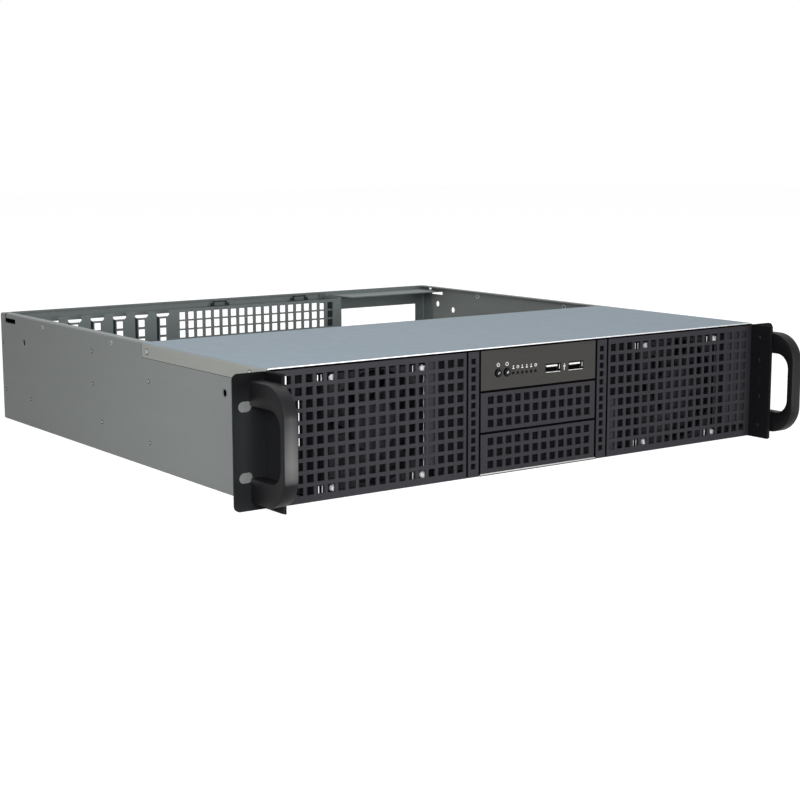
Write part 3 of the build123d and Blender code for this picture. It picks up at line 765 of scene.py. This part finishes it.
def mark_bar(x, z, width, height):
    low = Vector((x - width / 2, mark_y, z - height / 2))
    add_bar(marks, low, low + Vector((width, ink_thickness, height)))


for name, gap in (("power_button", 70.0), ("reset_button", 0.0)):
    low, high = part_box(name)
    x = (low.x + high.x) / 2
    z = high.z + 2.6 * mm
    add_ring(marks, (x, mark_y, z), 1.35 * mm, 0.42 * mm, ink_thickness, 14, gap)
    if gap:
        mark_bar(x, z + 0.9 * mm, 0.4 * mm, 1.2 * mm)
# A black ring round each cap: painted shade in the gap round the cap.
ring_radius = 3.1 * mm
ring_width = 0.75 * mm
button_shade_rings = bmesh.new()
for name in ("power_button", "reset_button"):
    low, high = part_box(name)
    middle = ((low.x + high.x) / 2, mark_y, (low.z + high.z) / 2)
    add_ring(button_shade_rings, middle, ring_radius, ring_width, ink_thickness, 24)
    cap_marks = bmesh.new()
    mark_low = Vector((middle[0] - 0.7 * mm, low.y - 0.04 * mm, middle[2] - 0.9 * mm))
    add_bar(cap_marks, mark_low, mark_low + Vector((0.5, 0.05, 1.1)) * mm)
    mark_low += Vector((0.9, 0, 0.5)) * mm
    add_bar(cap_marks, mark_low, mark_low + Vector((0.5, 0.05, 1.1)) * mm)
    to_piece(f"{name}_marks", cap_marks, [ink], name)
to_piece("button_shade_rings", button_shade_rings, [painted_shade_black])
guide_low, guide_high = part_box("light_guide")
lamp_count = 6
lamp_inset = 2 * mm
lamp_pitch = (guide_high.x - guide_low.x - 2 * lamp_inset) / (lamp_count - 1)
round_signs = (1, 5)
for index in range(lamp_count):
    x = guide_low.x + lamp_inset + index * lamp_pitch
    z = guide_high.z + 3.1 * mm
    if index in round_signs:
        add_ring(marks, (x, mark_y, z), 1.1 * mm, 0.4 * mm, ink_thickness, 12)
    else:
        mark_bar(x, z + 0.9 * mm, 0.8 * mm, 0.5 * mm)
        mark_bar(x, z, 0.4 * mm, 1.3 * mm)
        mark_bar(x, z - 0.9 * mm, 1.8 * mm, 0.5 * mm)
port_x = (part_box("left_usb_port")[1].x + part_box("right_usb_port")[0].x) / 2
port_z = (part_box("left_usb_port")[0].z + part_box("left_usb_port")[1].z) / 2
mark_bar(port_x, port_z, 0.6 * mm, 4.8 * mm)
mark_bar(port_x, port_z + 0.6 * mm, 2.2 * mm, 0.8 * mm)
to_piece("plate_marks", marks, [ink])


# Side walls: rivets and threaded eyelets for the lid's screws, the cover's lap joint, the shadowed hook slots
# and a zinc ring in the left wall's front hole. Rivet heads and eyelet collars take a lighter zinc, painted
# highlight; the black rings under the rivets and the black middles of the eyelets and the ring are painted
# shade.
def add_dome(shape, centre, way, radius, height):
    """A round head that falls away to its rim."""
    top = end_face(add_disc(shape, centre, way, radius, height * 0.4, 14, radius * 0.92), way)
    for inset, rise in ((0.25, 0.35), (0.25, 0.25)):
        bmesh.ops.inset_region(shape, faces=[top], thickness=radius * inset)
        bmesh.ops.translate(shape, verts=top.verts, vec=Vector(way) * height * rise)


def add_eyelet(shape, centre, way, radius, bore, depth):
    """A round collar with a sunk middle, whose floor takes the second finish."""
    top = end_face(add_disc(shape, centre, way, radius, depth, 18, radius * 0.9), way)
    bmesh.ops.inset_region(shape, faces=[top], thickness=radius * 0.9 - bore)
    bmesh.ops.inset_region(shape, faces=[top], thickness=bore * 0.05)
    bmesh.ops.translate(shape, verts=top.verts, vec=-Vector(way) * depth * 0.8)
    top.material_index = 1


rivets_at = (
    (249, 73.6),
    (249, 49.2),
    (158.5, 61.5),
    (158.5, 18.1),
    (234.9, 22.4),
    (365.3, 22.9),
    (418.9, 64),
    (416.5, 25),
)
cover_rivets_at = ((160, 82.1), (20, 83.0))
eyelets_at = ((337.5, 83.2), (216, 82.9))
outer_collar = 1.7 * mm
inner_collar = 2.6 * mm
eyelet_bore = 1.1 * mm
painted_highlight_zinc = zinc_coat("painted_highlight_zinc", seen(186, 190, 190), seen(170, 174, 174))
tray_low, tray_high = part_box("base_tray")
wall_sheet = 1.0 * mm
flange_z = cover_low.z
for side, out in sides.items():
    wall = tray_low.x if out < 0 else tray_high.x
    heads = bmesh.new()
    rings = bmesh.new()
    for y, z in rivets_at:
        place = spot(0, y, z)
        place.x = wall
        add_disc(rings, place, (out, 0, 0), 1.5 * mm, 0.1 * mm, 14)
        add_dome(heads, place, (out, 0, 0), 1.0 * mm, 0.5 * mm)
    for y, z in cover_rivets_at:
        place = spot(0, y, z)
        place.x = wall
        add_disc(rings, place, (out, 0, 0), 2.3 * mm, 0.1 * mm, 18)
        add_dome(heads, place, (out, 0, 0), 1.9 * mm, 0.6 * mm)
    to_piece(f"{side}_rivet_shadow_rings", rings, [painted_shade_black])
    to_piece(f"{side}_rivets", heads, [painted_highlight_zinc], smooth=50)
    collars = bmesh.new()
    for y, z in eyelets_at:
        for surface, way in ((wall, out), (wall - out * wall_sheet, -out)):
            place = spot(0, y, z)
            place.x = surface
            collar_radius = outer_collar if surface == wall else inner_collar
            add_eyelet(collars, place, (way, 0, 0), collar_radius, eyelet_bore, 0.4 * mm)
    to_piece(f"{side}_eyelets", collars, [painted_highlight_zinc, painted_shade_black])
    seams = bmesh.new()
    x0, x1 = sorted((wall - out * 0.3 * mm, wall + out * 0.04 * mm))
    lap_low = spot(0, 2.0, 0)
    add_bar(seams, (x0, lap_low.y, flange_z - 0.2 * mm), (x1, cover_high.y, flange_z + 0.05 * mm))
    lap_back = cover_high.y
    add_bar(seams, (x0, lap_back - 0.1 * mm, flange_z), (x1, lap_back + 0.15 * mm, cover_high.z - 1.6 * mm))
    to_piece(f"{side}_lap_shadow", seams, [painted_shade_black])

hook_shadow = bmesh.new()
hook_face = tray_low.x + 0.95 * mm
hook_low = spot(0, 392.6, 80.8)
hook_high = spot(0, 413.6, 84.2)
add_bar(hook_shadow, (hook_face, hook_low.y, hook_low.z), (hook_face + 0.3 * mm, hook_high.y, hook_high.z))
to_piece("left_hook_shadow", hook_shadow, [painted_shade_black])

# A zinc ring with a sunk black middle fills the left wall's front hole: the black is painted shade in the
# hole.
hole_shade_shape = bmesh.new()
hole_shade_at = spot(0, 52.1, 66.5)
hole_shade_at.x = tray_low.x + wall_sheet
hole_shade_radius = 3.45 * mm
hole_shade_bore = 2.6 * mm
hole_shade_face = end_face(add_disc(hole_shade_shape, hole_shade_at, (-1, 0, 0), hole_shade_radius, wall_sheet, 28), (-1, 0, 0))
bmesh.ops.inset_region(hole_shade_shape, faces=[hole_shade_face], thickness=hole_shade_radius - hole_shade_bore)
bmesh.ops.inset_region(hole_shade_shape, faces=[hole_shade_face], thickness=0.05 * mm)
bmesh.ops.translate(hole_shade_shape, verts=hole_shade_face.verts, vec=(0.8 * mm, 0, 0))
hole_shade_face.material_index = 1
to_piece("left_hole_shade", hole_shade_shape, [zinc, painted_shade_black])


# Slot blanks and the lid's bridges: each blank is pressed from the rear panel, and a dark grey strip along
# its left edge is painted shadow. Two formed bridges stand in the rail's shadow: their ends are dark blocks
# of painted shadow, and their faces, the band along the rail and its end tab take a darker zinc, painted
# shade.
wall_face = spot(0, 390.3, 0).y
slot_first = -206.7
slot_pitch = 20.32
slot_count = 7
shadow_offset = 5.2
shadow_half = 1.1 * mm
shadow_front = wall_face - 0.12 * mm
slot_shadows = bmesh.new()
for index in range(slot_count):
    middle = spot(slot_first + slot_pitch * index - shadow_offset, 0, 0).x
    low = (middle - shadow_half, shadow_front, 6.0 * mm)
    high = (middle + shadow_half, wall_face + 0.2 * mm, 79.0 * mm)
    add_bar(slot_shadows, low, high)
painted_shade_grey = moulding("painted_shade_grey", seen(44, 47, 50), seen(34, 37, 40), 0.7, 0.05)
to_piece("slot_edge_shadows", slot_shadows, [painted_shade_grey])

rail_low, rail_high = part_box("rear_rail")
painted_shade_bridge_zinc = zinc_coat("painted_shade_bridge_zinc", seen(96, 101, 101), seen(80, 85, 85))
shadows = bmesh.new()
raised = bmesh.new()
bridges_at = (-13.5, 70.4)
for place in bridges_at:
    for half, low_z, high_z, proud, shape in (
        (9.6, 6.2, 3.7, 0.15, shadows),
        (7.4, 3.8, 1.9, 0.15, shadows),
        (5.2, 6.2, 2.9, 0.25, raised),
    ):
        low = ((place - half) * mm, rail_low.y - proud * mm, rail_high.z - low_z * mm)
        add_bar(shape, low, ((place + half) * mm, rail_low.y + 0.3 * mm, rail_high.z - high_z * mm), 0.1 * mm)
band_front = rail_low.y - 0.12 * mm
band_back = rail_low.y + 0.3 * mm
band_low = rail_high.z - 1.9 * mm
band_high = rail_high.z - 1.15 * mm
rail_end = spot(97.6, 0, 0).x
add_bar(raised, (rail_low.x, band_front, band_low), (rail_end, band_back, band_high))
end_tab_low = (spot(93.4, 0, 0).x, band_front + 0.05 * mm, rail_high.z - 10.4 * mm)
add_bar(raised, end_tab_low, (spot(99.8, 0, 0).x, band_back, band_high))
to_piece("bridge_shadows", shadows, [painted_shade_grey])
to_piece("bridge_tops", raised, [painted_shade_bridge_zinc])

# A dark grey sheet behind the last column of vents: painted shade.
vent_shade_sheet = bmesh.new()
vent_shade_front = wall_face + 1.15 * mm
vent_shade_back = wall_face + 1.5 * mm
add_bar(vent_shade_sheet, (82.2 * mm, vent_shade_front, 56.0 * mm), (89.6 * mm, vent_shade_back, 82.0 * mm))
to_piece("vent_shade", vent_shade_sheet, [painted_shade_grey])
